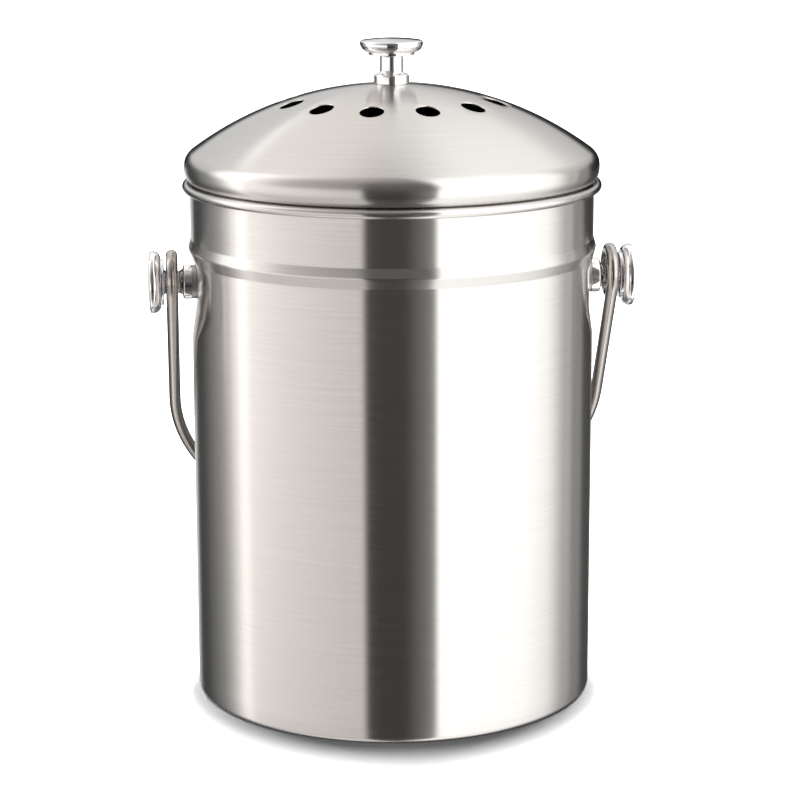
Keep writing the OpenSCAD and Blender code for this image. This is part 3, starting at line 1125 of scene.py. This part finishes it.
def warmth(azimuth, elevation):
    """How far a card leans from neutral white to warm white."""
    front = blend(1, 0.35, ease(azimuth, 8, 26)) + 0.7 * ease(azimuth, 104, 114)
    back = ease(elevation - boom_height(azimuth), -1, 2) if azimuth < 0 else 0.4
    return blend(front, back, share_behind(azimuth))


print("the ceiling straight overhead glows", round(glow(0, 90), 2))

# %% The tent of cards
tent_r = 9.0
tent_columns = 540
tent_rows = 96
neutral_white = Vector((1, 1, 1))
warm_white = Vector((1, 0.957, 0.93))
bm = bmesh.new()
bmesh.ops.create_grid(bm, x_segments=tent_columns, y_segments=tent_rows, size=1)
glow_layer = bm.verts.layers.float_color.new("glow")
for v in bm.verts:
    azimuth, elevation = round(180 * v.co.x, 3), 90 * v.co.y
    turn, tilt = radians(azimuth) - camera_turn, radians(elevation)
    v.co = Vector((sin(turn) * cos(tilt), -cos(turn) * cos(tilt), sin(tilt))) * tent_r
    colour = neutral_white.lerp(warm_white, warmth(azimuth, elevation))
    v[glow_layer] = (*(colour * max(0, glow(azimuth, elevation))), 1)
bmesh.ops.remove_doubles(bm, verts=bm.verts[:], dist=MM)
card_mesh = bpy.data.meshes.new("cards")
bm.to_mesh(card_mesh)
bm.free()
print("the tent has", len(card_mesh.vertices), "vertices")

# %% [markdown]
# ### Who sees the tent
#
# The tent's emission takes its colour from the vertices. Only reflections see it: the camera, the
# floor and the shadows don't. A reflection that a matt surface picks up is left out too, so that the
# tent gives no light to the shadow under the foot. The floor is hidden from reflections, because
# the tent's lower half stands in for it.

# %% Light the tent
material, tree = new_material("graduated cards")
shown = add(tree, "ShaderNodeAttribute", attribute_name="glow").outputs["Color"]
bounced = add(tree, "ShaderNodeLightPath").outputs["Diffuse Depth"]
strength = add(tree, "ShaderNodeMapRange", {"Value": bounced, "To Min": 1.0, "To Max": 0.0})
light = add(tree, "ShaderNodeEmission", {"Color": shown, "Strength": strength.outputs[0]})
add(tree, "ShaderNodeOutputMaterial", {"Surface": light.outputs[0]})
material.cycles.emission_sampling = "NONE"
cards = add_stage("cards", card_mesh, material)
cards.visible_camera = False
cards.visible_diffuse = False
cards.visible_transmission = False
cards.visible_shadow = False
cards.visible_volume_scatter = False
floor.visible_glossy = False
print("studio pieces:", floor.name, "and", cards.name)

# %% [markdown]
# ## The lamps
#
# A long strip lamp hangs high above, from over the caddy to a little behind it, and draws the short
# soft shadow in front of the foot. A row of sun lamps stands for it, because their light is even all
# over the floor. A sun's angle is the width of the lamp as the caddy sees it. Two wide lamps behind,
# on the left and the right, take that shadow away from the sides of the foot. The photographed
# floor shows no shadow of the knobs, the washers or the bail, so here they cast none.

# %% Lamps over and behind the caddy
def add_sun(name, floor_light, azimuth, lean, width):
    """A sun that gives the floor this much light. It leans away from straight overhead."""
    turn, tilt = radians(azimuth) - camera_turn, radians(lean)
    lamp_data = bpy.data.lights.new(name, "SUN")
    lamp_data.energy = floor_light * pi / cos(tilt)
    lamp_data.angle = radians(width)
    lamp = bpy.data.objects.new(name, lamp_data)
    lamp.rotation_mode = "QUATERNION"
    towards_lamp = Vector((sin(turn) * sin(tilt), -cos(turn) * sin(tilt), cos(tilt)))
    lamp.rotation_quaternion = towards_lamp.to_track_quat("Z", "Y")
    lamp.visible_glossy = False
    scene.collection.objects.link(lamp)


top_light = 0.45
back_light = 0.3
back_lean = 55
lamp_middle = 3.9
lamp_reach = 3.7
lamp_count = 6
lamp_width = 2 * lamp_reach / lamp_count
offsets = [(i - (lamp_count - 1) / 2) * lamp_width for i in range(lamp_count)]
shares = [sqrt(1 - (offset / lamp_reach) ** 2) for offset in offsets]
for i, (offset, share) in enumerate(zip(offsets, shares)):
    part = top_light * share / sum(shares)
    add_sun(f"overhead_{i + 1}", part, 180, lamp_middle + offset, lamp_width)
add_sun("left_lamp", back_light, -151, back_lean, 48)
add_sun("right_lamp", back_light, 155, back_lean, 38)
print("lamps:", lamp_count, "in a row", round(2 * lamp_reach, 1), "degrees long, and two behind")
for piece in (*knobs, *washers, bail_wire):
    piece.visible_shadow = False

# %% [markdown]
# ## Colour management
#
# The Standard view shows each colour about as it is written.

# %% Colour management
scene.view_settings.view_transform = "Standard"
